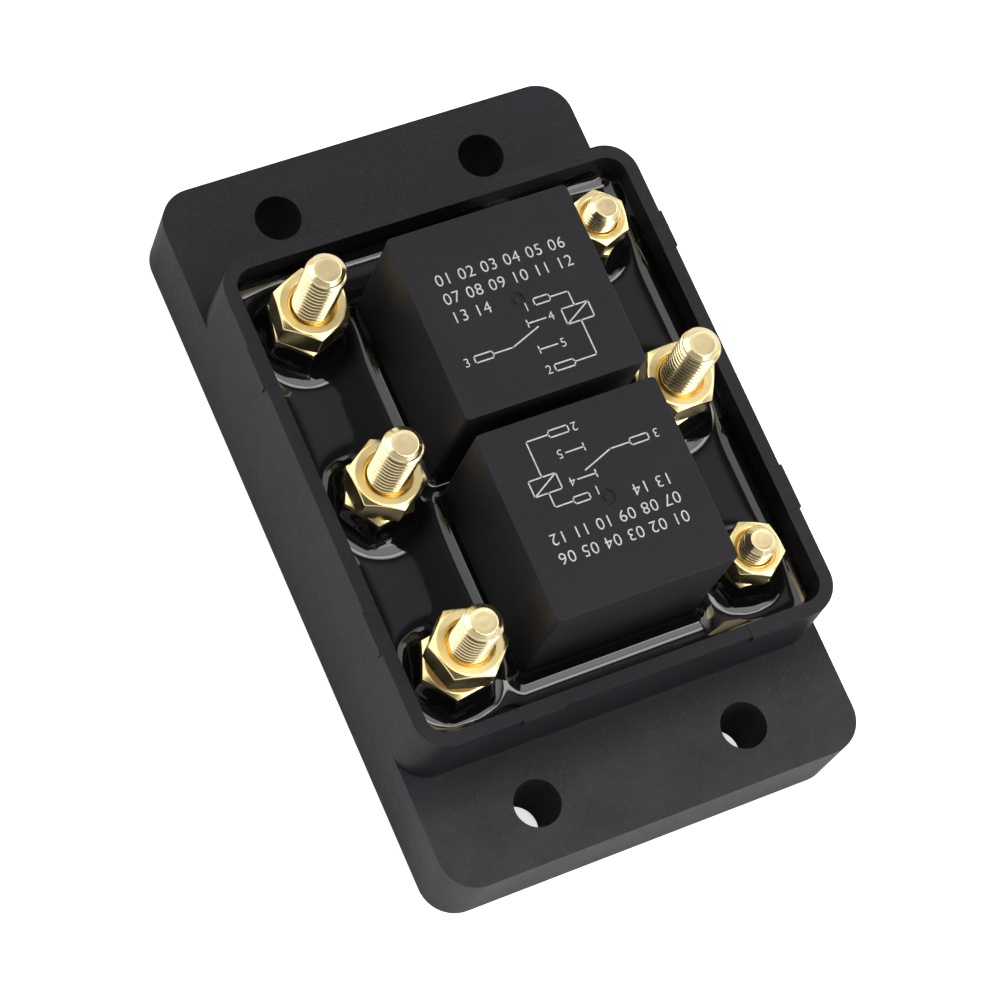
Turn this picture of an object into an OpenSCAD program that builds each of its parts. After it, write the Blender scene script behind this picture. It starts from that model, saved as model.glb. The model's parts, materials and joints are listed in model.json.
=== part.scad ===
// Dual changeover relay module: two sealed relays on a board, resin-filled into
// an open box with a mounting flange at each end and six terminal studs.
// Origin at the middle of the footprint, X across the stud rows, Y along the
// flanges, Z up. All sizes are in millimetres.

/* [Housing] */
// Width of the box across the two stud rows
box_w = 66; // [65:0.5:70]
// Height of the box from its foot to its rim
box_h = 27.3; // [26:0.1:29]
// Thickness of the box walls
wall_t = 2; // [1.6:0.1:2.2]
// Thickness of the box floor
floor_t = 2.5; // [2:0.1:4]
// Outside radius of the box's upright corners
box_corner_r = 5; // [3:0.5:6]

/* [Flanges] */
// Width of the mounting flanges
flange_w = 66.6; // [66.2:0.1:70]
// Length over both flanges
body_l = 111.3; // [109:0.1:115]
// Length that each flange stands out of the box
flange_l = 17.3; // [16.5:0.1:18]
// Height of the flanges
flange_h = 14; // [10:0.5:16]
// Radius of the flanges' upright corners
flange_corner_r = 5.4; // [3:0.2:7]
// Thickness of the flanges' top plate and outer walls
skin_t = 2.6; // [2:0.1:3]
// Thickness of the ribs under the flanges
rib_t = 2; // [1.5:0.1:2.5]
// Diameter of the bosses round the mounting holes
boss_d = 12; // [11:0.5:13]

/* [Mounting holes] */
// Diameter of the four mounting holes
hole_d = 7; // [5.5:0.1:7.5]
// Distance between the holes across the module
hole_pitch_x = 33.2; // [30:0.1:36]
// Distance from the holes' middle to the flanges' ends
hole_end = 8.4; // [7.6:0.1:9]

/* [Relays] */
// Distance from each stud row's middle to the relays' sides
relay_to_row = 9.1; // [8.9:0.1:9.6]
// Mean distance from the relays' ends to the box's inner walls
relay_to_wall = 6.85; // [6.6:0.05:7.2]
// Height of each relay above the board
relay_h = 25; // [25:0.1:26]
// Gap between the two relays
relay_gap = 2.4; // [1.5:0.1:3]
// Place of the middle of that gap along the module
relay_gap_y = -1.3; // [-1.6:0.1:0]
// Thickness of the relay covers
cover_t = 1.1; // [0.9:0.05:1.1]

/* [Studs] */
// Distance from each stud row's middle to the box's outside
row_to_side = 9.9; // [9.7:0.1:10.2]
// Distance from the outer studs' middle to the box's ends
stud_to_end = 11.35; // [11:0.05:12]
// Thread diameter of the four power studs
power_d = 6; // [5.5:0.1:6]
// Length of the power studs under their heads
power_l = 30; // [28:0.5:34]
// Width across flats of the power nuts and heads
power_af = 10; // [9.5:0.1:10.2]
// Height of each power nut
power_nut_h = 5.2; // [4.8:0.1:5.4]
// Thread diameter of the two coil studs
coil_d = 5; // [4:0.1:5]
// Length of the coil studs under their heads
coil_l = 20; // [19:0.5:24]
// Width across flats of the coil nuts and heads
coil_af = 8; // [7.6:0.1:8.4]
// Height of each coil nut
coil_nut_h = 4.2; // [3.8:0.1:4.4]
// Distance that one power terminal nut is unscrewed
loose_nut_rise = 2.7; // [0:0.1:4]

/* [Board and resin] */
// Height of the board's upper face above the foot
board_top_z = 19; // [18.5:0.1:19.4]
// Thickness of the board
board_t = 2.4; // [2:0.1:3]
// Thickness of the copper bars under the board
bar_t = 2; // [1.5:0.1:2.2]
// Thickness of the washers under the bars
washer_t = 1.6; // [1.2:0.1:1.6]
// Thickness of the collars between board and nuts
collar_t = 2.2; // [1.6:0.1:2.2]
// Depth of resin that covers the board
resin_cover = 1.3; // [1:0.1:1.6]

/* [Hidden] */
$fn = 64;
overrun = 0.5;
fit_gap = 0.05;
solder_gap = 0.1;
board_gap = 0.4;
bore_clear = 0.2;

// Housing, worked out
box_l = body_l - 2 * flange_l;
hole_pitch_y = body_l - 2 * hole_end;
cavity_w = box_w - 2 * wall_t;
cavity_l = box_l - 2 * wall_t;
cavity_corner_r = box_corner_r - wall_t;
ledge_t = 2;
ledge_w = 4;
ledge_share = 0.37;

// Board, worked out
board_z = board_top_z - board_t;
board_w = cavity_w - 2 * board_gap;
board_l = cavity_l - 2 * board_gap;
board_corner_r = cavity_corner_r - board_gap;
bar_z = board_z - bar_t;
seat_z = bar_z - washer_t;
nut_z = board_top_z + collar_t;
resin_z = board_top_z + resin_cover;

stud_row_x = box_w / 2 - row_to_side;
stud_pitch = box_l / 2 - stud_to_end;

// Studs: places as signs of row and column, then the turn of each nut in degrees
POWER_PLACES = [[-1, 1], [-1, 0], [-1, -1], [1, 0]];
POWER_BASE_TURNS = [19, 5, 8, 13];
POWER_TOP_TURNS = [22.3, 32.4, 45.4, 1.4];
POWER_LOOSE = [0, 0, 1, 0];
COIL_PLACES = [[1, 1], [1, -1]];
COIL_BASE_TURNS = [39, 53];
COIL_TOP_TURNS = [18.4, 36.7];
power_head_h = 4;
coil_head_h = 3.5;
power_collar_d = 12.6;
coil_collar_d = 10.4;
thread_relief = 0.3;
power_tip_chamfer = 1.1;
coil_tip_chamfer = 0.9;
nut_countersink = 0.45;
nut_bevel_deg = 30;
nut_face_share = 0.95;
mound_gap = 0.35;
mound_spread = 1.9;
mound_drop = 0.4;
mound_steps = 7;

// Relay, worked out: local u across, v towards the yoke, w up from the board
relay_w = 2 * (stud_row_x - relay_to_row);
relay_l = (cavity_l - relay_gap) / 2 - relay_to_wall;
relay_unit = min(relay_w, relay_l) / 28;
relay_pitch = relay_l + relay_gap;
relay_1_y = relay_gap_y + relay_pitch / 2;
relay_2_y = relay_gap_y - relay_pitch / 2;
cover_edge_r = 0.7;
cover_bevel = 0.4;
dimple_d = 2.4;
dimple_depth = 0.25;
dimple_nub_d = 0.8;
room_v = relay_l / 2 - cover_t;
room_u = relay_w / 2 - cover_t;
inner_gap = 0.5 * relay_unit;
base_t = 2 * relay_unit;
blade_t = 0.4 * relay_unit;
blade_w = 8 * relay_unit;
yoke_t = 1.8 * relay_unit;
yoke_w = 14 * relay_unit;
yoke_back_v = room_v - inner_gap - blade_t;
coil_gap = 0.35 * relay_unit;
bobbin_w = 14.8 * relay_unit;
bobbin_h = 12 * relay_unit;
bobbin_flange_t = relay_unit;
bobbin_barrel_d = 8 * relay_unit;
winding_d = 14 * relay_unit;
coil_v = yoke_back_v - yoke_t - coil_gap - bobbin_w / 2;
core_d = 6 * relay_unit;
pole_d = 9 * relay_unit;
pole_t = 0.8 * relay_unit;
yoke_top = base_t + yoke_t + bobbin_h + pole_t;
armature_t = 1.4 * relay_unit;
armature_w = 13 * relay_unit;
seat_gap = 0.06;
contact_gap = 0.05;
contact_travel = 1.2 * relay_unit;
contact_d = 4.4 * relay_unit;
contact_h = 0.9 * relay_unit;
contact_crown = 0.2 * relay_unit;
shank_d = 2.4 * relay_unit;
stake_d = 2.2 * relay_unit;
stake_h = 0.7 * relay_unit;
strip_t = 0.8 * relay_unit;
strip_w = 6 * relay_unit;
tab_t = relay_unit;
pin_l = board_t + bar_t + 0.8 * strip_t;
coil_pin_t = 0.8 * relay_unit;
coil_pin_w = relay_unit;
coil_pin_u = yoke_w / 2 + 2.75 * coil_pin_t;
coil_pin_v = coil_v + coil_pin_w;
lug_h = 2.4 * relay_unit;
lug_w = coil_pin_u + 1.5 * coil_pin_w - winding_d / 2;
nc_v = room_v - inner_gap * 0.7;
blade_end_v = nc_v - strip_t - inner_gap;
contact_v = blade_end_v - contact_d / 2 - blade_t / 2;
no_v = bobbin_w / 2 - coil_v + inner_gap;
open_deg = asin(contact_travel / (yoke_back_v + contact_v));
blade_z = yoke_top + seat_gap + armature_t;
no_tab_z = blade_z - 2 * contact_h - contact_gap - tab_t;
nc_face_z = blade_z + blade_t + contact_h + contact_travel + contact_gap;
nc_tab_z = nc_face_z + contact_h;

// Copper bars, worked out
bar_w = 6.5;
power_eye_d = 13.2;
coil_eye_d = 11;
arm_w = 3.2;
link_w = 2;
bar_gap = 0.5;
nc_pin_y1 = relay_1_y - nc_v + strip_t / 2;
no_pin_y1 = relay_1_y - no_v - strip_t / 2;
common_pin_y1 = relay_1_y + yoke_back_v + strip_t / 2;
coil_pin_y1 = relay_1_y + coil_pin_v;
mirror_y = relay_1_y + relay_2_y;
arm_end_x = strip_w / 2 + 0.5 * strip_t;

// Shared shapes

// A rectangle with round corners
module round_rect(w, l, r) {
    square([w - 2 * r, l], center = true);
    square([w, l - 2 * r], center = true);
    for (i = [-1, 1], j = [-1, 1])
        translate([i * (w / 2 - r), j * (l / 2 - r)])
            circle(r = r);
}

// A rectangle from one corner to the other
module span(x0, y0, x1, y1) {
    translate([x0, y0])
        square([x1 - x0, y1 - y0]);
}

// Repeats a shape at both flanges
module at_flanges() {
    for (j = [-1, 1])
        translate([0, j * hole_pitch_y / 2])
            children();
}

// Repeats a shape at the four mounting holes
module at_holes() {
    at_flanges()
        for (i = [-1, 1])
            translate([i * hole_pitch_x / 2, 0])
                children();
}

// Repeats a shape at the studs of a list of places
module at_studs(places) {
    for (p = places)
        translate([p[0] * stud_row_x, p[1] * stud_pitch])
            children();
}

// Puts a relay piece, drawn in the relay's own axes, where relay 1 or 2 stands
module at_relay(number) {
    translate([0, number == 1 ? relay_1_y : relay_2_y, board_top_z])
        rotate([0, 0, number == 1 ? 0 : 180])
            children();
}

// A block centred across the relay, from v0 to v1 and from w0 to w1
module relay_block(width, v0, v1, w0, w1) {
    translate([-width / 2, v0, w0])
        cube([width, v1 - v0, w1 - w0]);
}

// Housing

module ledges() {
    for (i = [-1, 1], j = [-1, 1])
        translate([i * (cavity_w - ledge_t) / 2, j * cavity_l * ledge_share / 2])
            square([ledge_t, ledge_w], center = true);
    for (j = [-1, 1])
        translate([0, j * (cavity_l - ledge_t) / 2])
            square([ledge_w, ledge_t], center = true);
}

module flange_pockets() {
    inner_w = flange_w - 2 * skin_t;
    pocket_l = flange_l - skin_t;
    difference() {
        for (j = [-1, 1])
            translate([0, j * (box_l + pocket_l) / 2])
                square([inner_w, pocket_l], center = true);
        at_holes()
            circle(d = boss_d);
        at_flanges() {
            square([rib_t, 2 * flange_l], center = true);
            square([inner_w + overrun, rib_t], center = true);
            for (i = [-1, 1])
                translate([i * hole_pitch_x / 2, 0])
                    square([rib_t, 2 * flange_l], center = true);
        }
    }
}

module housing() {
    color([0.13, 0.13, 0.14])
        difference() {
            union() {
                linear_extrude(box_h)
                    round_rect(box_w, box_l, box_corner_r);
                linear_extrude(flange_h)
                    round_rect(flange_w, body_l, flange_corner_r);
            }
            difference() {
                translate([0, 0, floor_t])
                    linear_extrude(box_h)
                        round_rect(cavity_w, cavity_l, cavity_corner_r);
                linear_extrude(board_z)
                    ledges();
            }
            translate([0, 0, -overrun])
                linear_extrude(flange_h - skin_t + overrun)
                    flange_pockets();
            translate([0, 0, -overrun])
                linear_extrude(flange_h + 2 * overrun)
                    at_holes()
                        circle(d = hole_d);
        }
}

// Studs, nuts, washers and collars

// A hex prism with its corners bevelled at the top and, if wanted, the foot
module hex_bar(af, h, both_ends) {
    corner_r = af / 2 / cos(30);
    face_r = nut_face_share * af / 2;
    bevel_h = (corner_r - face_r) * tan(nut_bevel_deg);
    foot_r = both_ends ? face_r : corner_r;
    foot_h = both_ends ? bevel_h : 0;
    intersection() {
        cylinder(r = corner_r, h = h, $fn = 6);
        rotate_extrude()
            polygon([[0, 0], [foot_r, 0], [corner_r, foot_h], [corner_r, h - bevel_h],
                [face_r, h], [0, h]]);
    }
}

module nut(d, af, h) {
    mouth_r = d / 2 + nut_countersink;
    bore_r = d / 2 - thread_relief + fit_gap;
    mouth_h = mouth_r - bore_r;
    difference() {
        hex_bar(af, h, true);
        rotate_extrude()
            polygon([[0, -overrun], [mouth_r, -overrun], [mouth_r, 0], [bore_r, mouth_h],
                [bore_r, h - mouth_h], [mouth_r, h], [mouth_r, h + overrun], [0, h + overrun]]);
    }
}

// A screw that stands on its head, with a bare end above the nuts
module stud(d, l, af, head_h, bare_l, tip_chamfer) {
    translate([0, 0, seat_z]) {
        rotate_extrude()
            polygon([[0, 0], [d / 2 - thread_relief, 0], [d / 2 - thread_relief, l - bare_l],
                [d / 2, l - bare_l], [d / 2, l - tip_chamfer], [d / 2 - tip_chamfer, l], [0, l]]);
        translate([0, 0, -head_h])
            rotate([180, 0, 0])
                translate([0, 0, -head_h])
                    hex_bar(af, head_h, false);
    }
}

// Height of a terminal nut's top face, one of them partly unscrewed
function nut_top(nut_h, rise) = nut_z + 2 * nut_h + rise;

module power_studs() {
    color("goldenrod")
        for (k = [0 : len(POWER_PLACES) - 1])
            at_studs([POWER_PLACES[k]])
                stud(power_d, power_l, power_af, power_head_h,
                    seat_z + power_l - nut_top(power_nut_h, POWER_LOOSE[k] * loose_nut_rise),
                    power_tip_chamfer);
}

module coil_studs() {
    color("goldenrod")
        at_studs(COIL_PLACES)
            stud(coil_d, coil_l, coil_af, coil_head_h,
                seat_z + coil_l - nut_top(coil_nut_h, 0), coil_tip_chamfer);
}

module ring(outer_d, inner_d, h) {
    linear_extrude(h)
        difference() {
            circle(d = outer_d);
            circle(d = inner_d);
        }
}

module power_washers() {
    color("silver")
        at_studs(POWER_PLACES)
            translate([0, 0, seat_z])
                ring(power_collar_d, power_d + 2 * bore_clear, washer_t);
}

module coil_washers() {
    color("silver")
        at_studs(COIL_PLACES)
            translate([0, 0, seat_z])
                ring(coil_collar_d, coil_d + 2 * bore_clear, washer_t);
}

module power_collars() {
    color("peru")
        at_studs(POWER_PLACES)
            translate([0, 0, board_top_z])
                ring(power_collar_d, power_d + 2 * bore_clear, collar_t);
}

module coil_collars() {
    color("peru")
        at_studs(COIL_PLACES)
            translate([0, 0, board_top_z])
                ring(coil_collar_d, coil_d + 2 * bore_clear, collar_t);
}

// One nut at each place, turned as listed, lifted by its share of the rise
module nut_row(places, turns, loose, z, d, af, h) {
    for (k = [0 : len(places) - 1])
        at_studs([places[k]])
            translate([0, 0, z + loose[k] * loose_nut_rise])
                rotate([0, 0, turns[k]])
                    nut(d, af, h);
}

module power_base_nuts() {
    color("gold")
        nut_row(POWER_PLACES, POWER_BASE_TURNS, [0, 0, 0, 0], nut_z,
            power_d, power_af, power_nut_h);
}

module coil_base_nuts() {
    color("gold")
        nut_row(COIL_PLACES, COIL_BASE_TURNS, [0, 0], nut_z,
            coil_d, coil_af, coil_nut_h);
}

module power_terminal_nuts() {
    color("khaki")
        nut_row(POWER_PLACES, POWER_TOP_TURNS, POWER_LOOSE, nut_z + power_nut_h,
            power_d, power_af, power_nut_h);
}

module coil_terminal_nuts() {
    color("khaki")
        nut_row(COIL_PLACES, COIL_TOP_TURNS, [0, 0], nut_z + coil_nut_h,
            coil_d, coil_af, coil_nut_h);
}

// Board and copper bars

// Outline of one relay's legs, widened by a clearance
module leg_outlines(gap) {
    for (v = [yoke_back_v, -no_v - strip_t, -nc_v])
        translate([-strip_w / 2 - gap, v - gap])
            square([strip_w + 2 * gap, strip_t + 2 * gap]);
    for (i = [-1, 1])
        translate([i * coil_pin_u, coil_pin_v])
            square([coil_pin_t + 2 * gap, coil_pin_w + 2 * gap], center = true);
}

// The same for both relays where they pass the board
module relay_legs(gap) {
    translate([0, relay_1_y])
        leg_outlines(gap);
    translate([0, relay_2_y])
        rotate(180)
            leg_outlines(gap);
}

// Outline of every stud hole through board and bars
module stud_holes() {
    at_studs(POWER_PLACES)
        circle(d = power_d + 2 * bore_clear);
    at_studs(COIL_PLACES)
        circle(d = coil_d + 2 * bore_clear);
}

module circuit_board() {
    color("darkgreen")
        translate([0, 0, board_z])
            linear_extrude(board_t)
                difference() {
                    round_rect(board_w, board_l, board_corner_r);
                    stud_holes();
                    relay_legs(solder_gap);
                }
}

// A bar punched from sheet, with its stud holes and leg slots
module bar() {
    color("chocolate")
        translate([0, 0, bar_z])
            linear_extrude(bar_t)
                difference() {
                    children();
                    stud_holes();
                    relay_legs(solder_gap);
                }
}

module positive_outline() {
    at_studs([[-1, 0]])
        circle(d = power_eye_d);
    post_x = arm_end_x + bar_gap + bar_w / 2;
    span(-stud_row_x, -bar_w / 2, -post_x, bar_w / 2);
    span(-post_x - bar_w / 2, mirror_y - no_pin_y1 - arm_w / 2, -post_x + bar_w / 2,
        no_pin_y1 + arm_w / 2);
    for (y = [no_pin_y1, mirror_y - no_pin_y1])
        span(-post_x, y - arm_w / 2, arm_end_x, y + arm_w / 2);
}

module negative_outline() {
    at_studs([[1, 0]])
        circle(d = power_eye_d);
    span(0, -bar_w / 2, stud_row_x, bar_w / 2);
    span(-arm_end_x, mirror_y - nc_pin_y1 - arm_w / 2, arm_end_x, nc_pin_y1 + arm_w / 2);
}

module motor_outline_a() {
    at_studs([[-1, 1]])
        circle(d = power_eye_d);
    span(-stud_row_x, common_pin_y1 - bar_w / 2, arm_end_x, common_pin_y1 + bar_w / 2);
}

module motor_outline_b() {
    at_studs([[-1, -1]])
        circle(d = power_eye_d);
    span(-stud_row_x, mirror_y - common_pin_y1 - arm_w / 2, arm_end_x,
        mirror_y - common_pin_y1 + bar_w / 2);
}

// Narrow strips from each coil stud to the near leg of its coil
module coil_outline() {
    for (y = [coil_pin_y1, mirror_y - coil_pin_y1]) {
        stud_y = sign(y) * stud_pitch;
        translate([stud_row_x, stud_y])
            circle(d = coil_eye_d);
        span(stud_row_x - link_w / 2, min(y, stud_y) - link_w / 2,
            stud_row_x + link_w / 2, max(y, stud_y) + link_w / 2);
        span(coil_pin_u - link_w / 2, y - link_w / 2, stud_row_x, y + link_w / 2);
    }
}

// Narrow strips that bring the coils' far legs back to the negative bar
module coil_return_outline() {
    far_x = arm_end_x + link_w + bar_gap;
    span(-coil_pin_u - link_w / 2, coil_pin_y1 - link_w / 2, far_x, coil_pin_y1 + link_w / 2);
    span(far_x - link_w, bar_w / 2, far_x, coil_pin_y1);
    span(-coil_pin_u - link_w / 2, mirror_y - coil_pin_y1 - link_w / 2, far_x,
        mirror_y - coil_pin_y1 + link_w / 2);
    span(far_x - link_w, mirror_y - coil_pin_y1, far_x, -bar_w / 2);
}

module positive_bar() {
    bar()
        positive_outline();
}

module negative_bar() {
    bar()
        negative_outline();
}

module motor_bar_a() {
    bar()
        motor_outline_a();
}

module motor_bar_b() {
    bar()
        motor_outline_b();
}

module coil_bars() {
    bar()
        coil_outline();
}

module coil_return_bars() {
    bar()
        coil_return_outline();
}

// Resin

// A mound of resin that climbs a base nut on a hollow curve
module mound(af, nut_h) {
    top_r = af / 2 / cos(30) + mound_gap;
    foot_r = top_r + mound_spread;
    top_z = nut_z + nut_h - mound_drop;
    rotate_extrude()
        polygon(concat([[0, board_top_z], [foot_r, board_top_z]],
            [for (k = [0 : mound_steps])
                let (a = 90 * k / mound_steps)
                [foot_r - (foot_r - top_r) * sin(a), resin_z + (top_z - resin_z) * (1 - cos(a))]],
            [[0, top_z]]));
}

// Everything that the resin flows round
module held_pieces() {
    linear_extrude(board_z)
        ledges();
    translate([0, 0, board_z])
        linear_extrude(board_t)
            round_rect(board_w, board_l, board_corner_r);
    translate([0, 0, bar_z])
        linear_extrude(bar_t) {
            positive_outline();
            negative_outline();
            motor_outline_a();
            motor_outline_b();
            coil_outline();
            coil_return_outline();
        }
    translate([0, 0, board_top_z - pin_l])
        linear_extrude(pin_l)
            relay_legs(solder_gap);
    at_studs(POWER_PLACES)
        held_stud(power_collar_d, power_af, power_head_h);
    at_studs(COIL_PLACES)
        held_stud(coil_collar_d, coil_af, coil_head_h);
    held_nuts(POWER_PLACES, POWER_BASE_TURNS, power_af, power_nut_h);
    held_nuts(COIL_PLACES, COIL_BASE_TURNS, coil_af, coil_nut_h);
    for (number = [1, 2])
        at_relay(number)
            relay_outline(relay_h);
}

// The head, the washer and the collar round one stud
module held_stud(collar_d, af, head_h) {
    translate([0, 0, seat_z - head_h])
        cylinder(r = af / 2 / cos(30), h = head_h, $fn = 6);
    translate([0, 0, seat_z])
        cylinder(d = collar_d, h = washer_t);
    translate([0, 0, board_top_z])
        cylinder(d = collar_d, h = collar_t);
}

module held_nuts(places, turns, af, h) {
    for (k = [0 : len(places) - 1])
        at_studs([places[k]])
            translate([0, 0, nut_z])
                rotate([0, 0, turns[k]])
                    cylinder(r = af / 2 / cos(30), h = h, $fn = 6);
}

module resin_fill() {
    color([0.05, 0.05, 0.06])
        difference() {
            intersection() {
                translate([0, 0, floor_t])
                    linear_extrude(box_h)
                        round_rect(cavity_w, cavity_l, cavity_corner_r);
                union() {
                    translate([0, 0, floor_t])
                        linear_extrude(resin_z - floor_t)
                            square([box_w, box_l], center = true);
                    at_studs(POWER_PLACES)
                        mound(power_af, power_nut_h);
                    at_studs(COIL_PLACES)
                        mound(coil_af, coil_nut_h);
                }
            }
            held_pieces();
        }
}

// Relay pieces, in the relay's own axes

// Outer block of a relay with round upright edges
module relay_outline(h) {
    linear_extrude(h)
        round_rect(relay_w, relay_l, cover_edge_r);
}

// A block with its upper edges bevelled, drawn as two crossed profiles
module bevelled_block(w, l, h, bevel) {
    intersection() {
        rotate([90, 0, 0])
            translate([0, 0, -l / 2])
                linear_extrude(l)
                    polygon([[-w / 2, 0], [w / 2, 0], [w / 2, h - bevel], [w / 2 - bevel, h],
                        [bevel - w / 2, h], [-w / 2, h - bevel]]);
        rotate([90, 0, 90])
            translate([0, 0, -w / 2])
                linear_extrude(w)
                    polygon([[-l / 2, 0], [l / 2, 0], [l / 2, h - bevel], [l / 2 - bevel, h],
                        [bevel - l / 2, h], [-l / 2, h - bevel]]);
    }
}

module cover() {
    color([0.2, 0.2, 0.21])
        difference() {
            intersection() {
                relay_outline(relay_h);
                bevelled_block(relay_w, relay_l, relay_h, cover_bevel);
            }
            translate([-room_u, -room_v, -overrun])
                cube([2 * room_u, 2 * room_v, relay_h - cover_t + overrun]);
            translate([0, 0, relay_h - dimple_depth])
                ring(dimple_d, dimple_nub_d, dimple_depth + overrun);
        }
}

module base() {
    color([0.16, 0.16, 0.17])
        linear_extrude(base_t)
            difference() {
                square([2 * (room_u - fit_gap), 2 * (room_v - fit_gap)], center = true);
                leg_outlines(fit_gap);
            }
}

module yoke() {
    color("lightsteelblue")
        difference() {
            union() {
                relay_block(yoke_w, coil_v - bobbin_w / 2, yoke_back_v, base_t, base_t + yoke_t);
                relay_block(yoke_w, yoke_back_v - yoke_t, yoke_back_v, base_t, yoke_top);
            }
            translate([0, coil_v, 0])
                cylinder(d = core_d, h = relay_h);
        }
}

module core() {
    color("silver")
        translate([0, coil_v, base_t]) {
            cylinder(d = core_d, h = yoke_t + bobbin_h);
            translate([0, 0, yoke_t + bobbin_h])
                cylinder(d = pole_d, h = pole_t);
        }
}

module bobbin() {
    color("ivory")
        translate([0, coil_v, base_t + yoke_t])
            difference() {
                union() {
                    cylinder(d = bobbin_barrel_d, h = bobbin_h);
                    for (z = [0, bobbin_h - bobbin_flange_t])
                        translate([-bobbin_w / 2, -bobbin_w / 2, z])
                            cube([bobbin_w, bobbin_w, bobbin_flange_t]);
                    for (i = [0, 1])
                        mirror([i, 0, 0])
                            translate([winding_d / 2 + fit_gap, -coil_pin_w, 0])
                                cube([lug_w, 4 * coil_pin_w, lug_h]);
                }
                translate([0, 0, -overrun])
                    cylinder(d = core_d + 2 * fit_gap, h = bobbin_h + 2 * overrun);
                for (i = [-1, 1])
                    translate([i * coil_pin_u, coil_pin_w, 0])
                        cube([coil_pin_t + 2 * fit_gap, coil_pin_w + 2 * fit_gap, bobbin_h],
                            center = true);
            }
}

module winding() {
    color("sienna")
        translate([0, coil_v, base_t + yoke_t + bobbin_flange_t])
            ring(winding_d, bobbin_barrel_d, bobbin_h - 2 * bobbin_flange_t);
}

module common_terminal() {
    color("tan")
        relay_block(strip_w, yoke_back_v, yoke_back_v + strip_t, -pin_l, base_t + lug_h);
}

module no_terminal() {
    color("tan")
        difference() {
            union() {
                relay_block(strip_w, -no_v - strip_t, -no_v, -pin_l, no_tab_z + tab_t);
                relay_block(strip_w, -contact_v - contact_d / 2, -no_v, no_tab_z, no_tab_z + tab_t);
            }
            translate([0, -contact_v, no_tab_z - overrun])
                cylinder(d = shank_d, h = tab_t + 2 * overrun);
        }
}

module nc_terminal() {
    color("tan")
        difference() {
            union() {
                relay_block(strip_w, -nc_v, strip_t - nc_v, -pin_l, nc_tab_z + tab_t);
                relay_block(strip_w, -nc_v, contact_d / 2 - contact_v, nc_tab_z, nc_tab_z + tab_t);
            }
            translate([0, -contact_v, nc_tab_z - overrun])
                cylinder(d = shank_d, h = tab_t + 2 * overrun);
        }
}

// A rivet head with a slightly crowned face at its top
module button(h) {
    crown_r = (pow(contact_d / 2, 2) + pow(contact_crown, 2)) / (2 * contact_crown);
    intersection() {
        cylinder(d = contact_d, h = h);
        translate([0, 0, h - crown_r])
            sphere(r = crown_r, $fn = 96);
    }
}

module fixed_contacts() {
    color("white")
        translate([0, -contact_v, 0]) {
            translate([0, 0, no_tab_z])
                cylinder(d = shank_d, h = tab_t);
            translate([0, 0, no_tab_z + tab_t])
                button(contact_h);
            translate([0, 0, nc_tab_z])
                cylinder(d = shank_d, h = tab_t);
            translate([0, 0, nc_tab_z])
                rotate([180, 0, 0])
                    button(contact_h);
        }
}

module coil_pins() {
    color("silver")
        for (i = [-1, 1])
            translate([i * coil_pin_u, coil_pin_v, (base_t + yoke_t + lug_h - pin_l) / 2])
                cube([coil_pin_t, coil_pin_w, base_t + yoke_t + lug_h + pin_l], center = true);
}

// The spring's fixed leg, staked to the back of the yoke
module hinge_spring() {
    color("orange")
        relay_block(blade_w, yoke_back_v, yoke_back_v + blade_t,
            base_t + lug_h + inner_gap, yoke_top - seat_gap);
}

// Turns a piece from the closed place to rest, about the yoke's upper back edge
module at_rest() {
    translate([0, yoke_back_v, yoke_top])
        rotate([-open_deg, 0, 0])
            translate([0, -yoke_back_v, -yoke_top])
                children();
}

module armature() {
    color("slategray")
        at_rest() {
            relay_block(armature_w, coil_v - pole_d / 2, yoke_back_v,
                yoke_top + seat_gap, blade_z);
            for (v = [coil_v, yoke_back_v - 2 * yoke_t])
                translate([0, v, blade_z])
                    cylinder(d = stake_d, h = stake_h);
        }
}

module blade() {
    color("orange")
        at_rest()
            difference() {
                union() {
                    relay_block(blade_w, -blade_end_v, yoke_back_v + blade_t,
                        blade_z, blade_z + blade_t);
                    relay_block(blade_w, yoke_back_v, yoke_back_v + blade_t,
                        yoke_top + 2 * seat_gap, blade_z + blade_t);
                }
                for (v = [coil_v, yoke_back_v - 2 * yoke_t])
                    translate([0, v, blade_z - overrun])
                        cylinder(d = stake_d, h = stake_h + overrun);
                translate([0, -contact_v, blade_z - overrun])
                    cylinder(d = shank_d, h = blade_t + 2 * overrun);
            }
}

module moving_contact() {
    color("white")
        at_rest()
            translate([0, -contact_v, 0]) {
                translate([0, 0, blade_z])
                    cylinder(d = shank_d, h = blade_t);
                translate([0, 0, blade_z + blade_t])
                    button(contact_h);
                translate([0, 0, blade_z])
                    rotate([180, 0, 0])
                        button(contact_h);
            }
}

housing();
resin_fill();
circuit_board();
positive_bar();
negative_bar();
motor_bar_a();
motor_bar_b();
coil_bars();
coil_return_bars();
power_studs();
coil_studs();
power_washers();
coil_washers();
power_collars();
coil_collars();
power_base_nuts();
coil_base_nuts();
power_terminal_nuts();
coil_terminal_nuts();
at_relay(1) cover();  // relay_1_cover
at_relay(1) base();  // relay_1_base
at_relay(1) yoke();  // relay_1_yoke
at_relay(1) bobbin();  // relay_1_bobbin
at_relay(1) winding();  // relay_1_winding
at_relay(1) core();  // relay_1_core
at_relay(1) common_terminal();  // relay_1_common_terminal
at_relay(1) no_terminal();  // relay_1_no_terminal
at_relay(1) nc_terminal();  // relay_1_nc_terminal
at_relay(1) fixed_contacts();  // relay_1_fixed_contacts
at_relay(1) coil_pins();  // relay_1_coil_pins
at_relay(1) hinge_spring();  // relay_1_hinge_spring
at_relay(1) armature();  // relay_1_armature
at_relay(1) blade();  // relay_1_blade
at_relay(1) moving_contact();  // relay_1_moving_contact
at_relay(2) cover();  // relay_2_cover
at_relay(2) base();  // relay_2_base
at_relay(2) yoke();  // relay_2_yoke
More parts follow.
